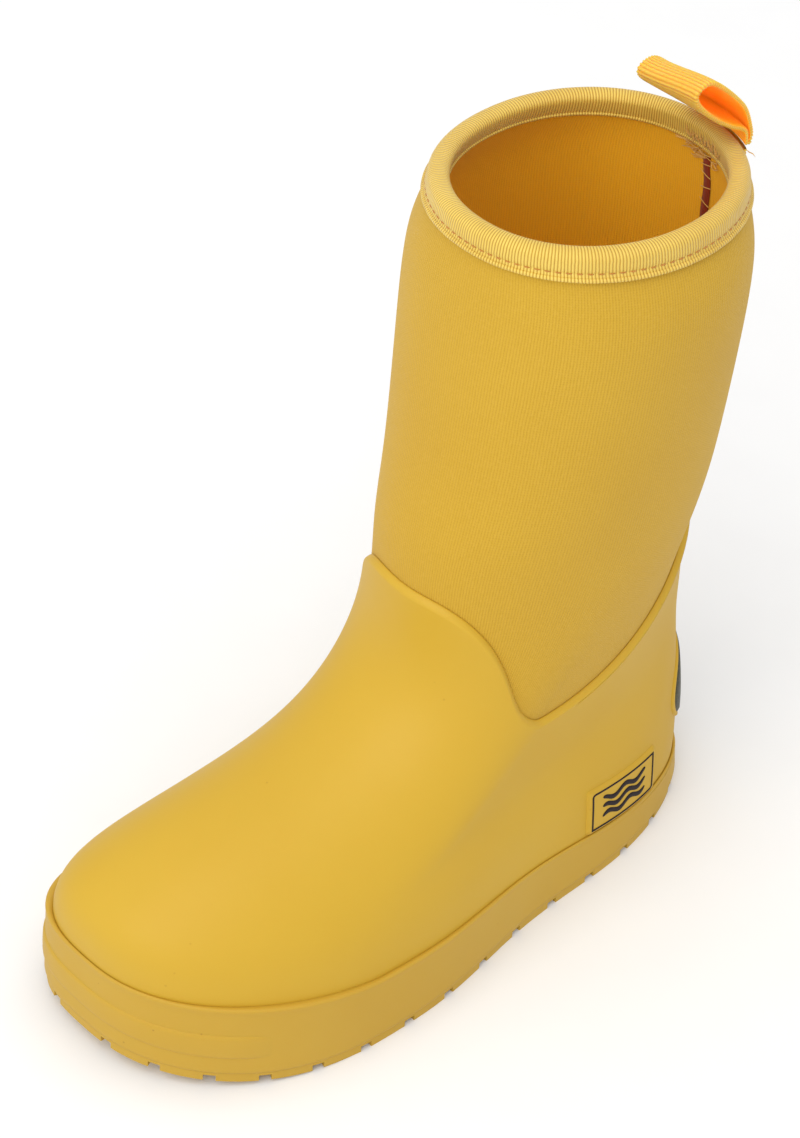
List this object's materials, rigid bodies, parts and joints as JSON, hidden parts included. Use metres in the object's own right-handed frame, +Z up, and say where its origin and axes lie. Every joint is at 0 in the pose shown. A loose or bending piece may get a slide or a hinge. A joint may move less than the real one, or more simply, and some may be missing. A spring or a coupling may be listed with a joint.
{
  "type": "boot",
  "caption": "Child's left deck boot with a moulded rubber foot, a soft knitted neoprene shaft, a bound collar and a webbing pull loop.",
  "frame": {"origin": "on the ground under the middle of the boot's bounding box", "axes": "+Z up; the toe points to -Y and the heel to +Y; +X is the outer (lateral) side, which carries the label"},
  "size_m": [0.0864, 0.2036, 0.2407],
  "materials": {
    "upper_rubber": "satin moulded rubber",
    "sole_rubber": "satin moulded rubber, ribbed tread",
    "midsole_rubber": "matte",
    "insole_fibre": "matte pressed fibre",
    "footbed_foam": "matte open foam",
    "footbed_knit": "knitted",
    "neoprene": "fine knitted face over foam",
    "lining_knit": "fine brushed knit",
    "stiffener_sheet": "matte",
    "label_rubber": "satin",
    "label_ink": "matte print",
    "badge": "satin, convex",
    "binding_tape": "ribbed grosgrain tape",
    "stitch_thread": "twisted thread",
    "seam_tape": "woven tape",
    "seam_thread": "twisted thread",
    "webbing": "ribbed webbing"
  },
  "bodies": {
    "foot": {"outsole": "sole_rubber", "midsole": "midsole_rubber", "insole_board": "insole_fibre", "foxing_band": "sole_rubber", "toe_bumper": "sole_rubber", "foot_shell": "upper_rubber", "foot_neoprene": "neoprene", "foot_lining": "lining_knit", "toe_stiffener": "stiffener_sheet", "heel_counter": "stiffener_sheet", "side_label": "label_rubber", "side_label_print": "label_ink", "heel_badge": "badge", "heel_badge_rim": "label_rubber", "flex_zone_neoprene": "neoprene", "flex_zone_lining": "lining_knit"},
    "footbed": {"footbed_foam": "footbed_foam", "footbed_cover": "footbed_knit"},
    "shaft": {"shaft_panel": "neoprene", "shaft_lining": "lining_knit", "collar_binding": "binding_tape", "binding_stitches": "stitch_thread", "back_seam_tape": "seam_tape", "back_seam_stitches": "seam_thread", "loop_bar_tack": "seam_thread", "loop_anchor": "webbing"},
    "pull_loop": {"pull_loop": "webbing"}
  },
  "joints": [
    {"name": "shaft_flex", "type": "hinge", "parent": "foot", "child": "shaft", "pos_m": [0.00147, 0.0503, 0.149], "axis": [1, 0, 0], "range_deg": [-12, 18], "stiffness_Nm_per_rad": 0.8, "deforming": ["flex_zone_neoprene", "flex_zone_lining"]},
    {"name": "loop_swing", "type": "hinge", "parent": "shaft", "child": "pull_loop", "pos_m": [0.00597, 0.1005, 0.2152], "axis": [1, 0, 0], "range_deg": [-140, 20], "stiffness_Nm_per_rad": 0.006},
    {"name": "footbed_lift", "type": "hinge", "parent": "foot", "child": "footbed", "pos_m": [0, -0.0885, 0.0123], "axis": [1, 0, 0], "range_deg": [0, 5]}
  ]
}
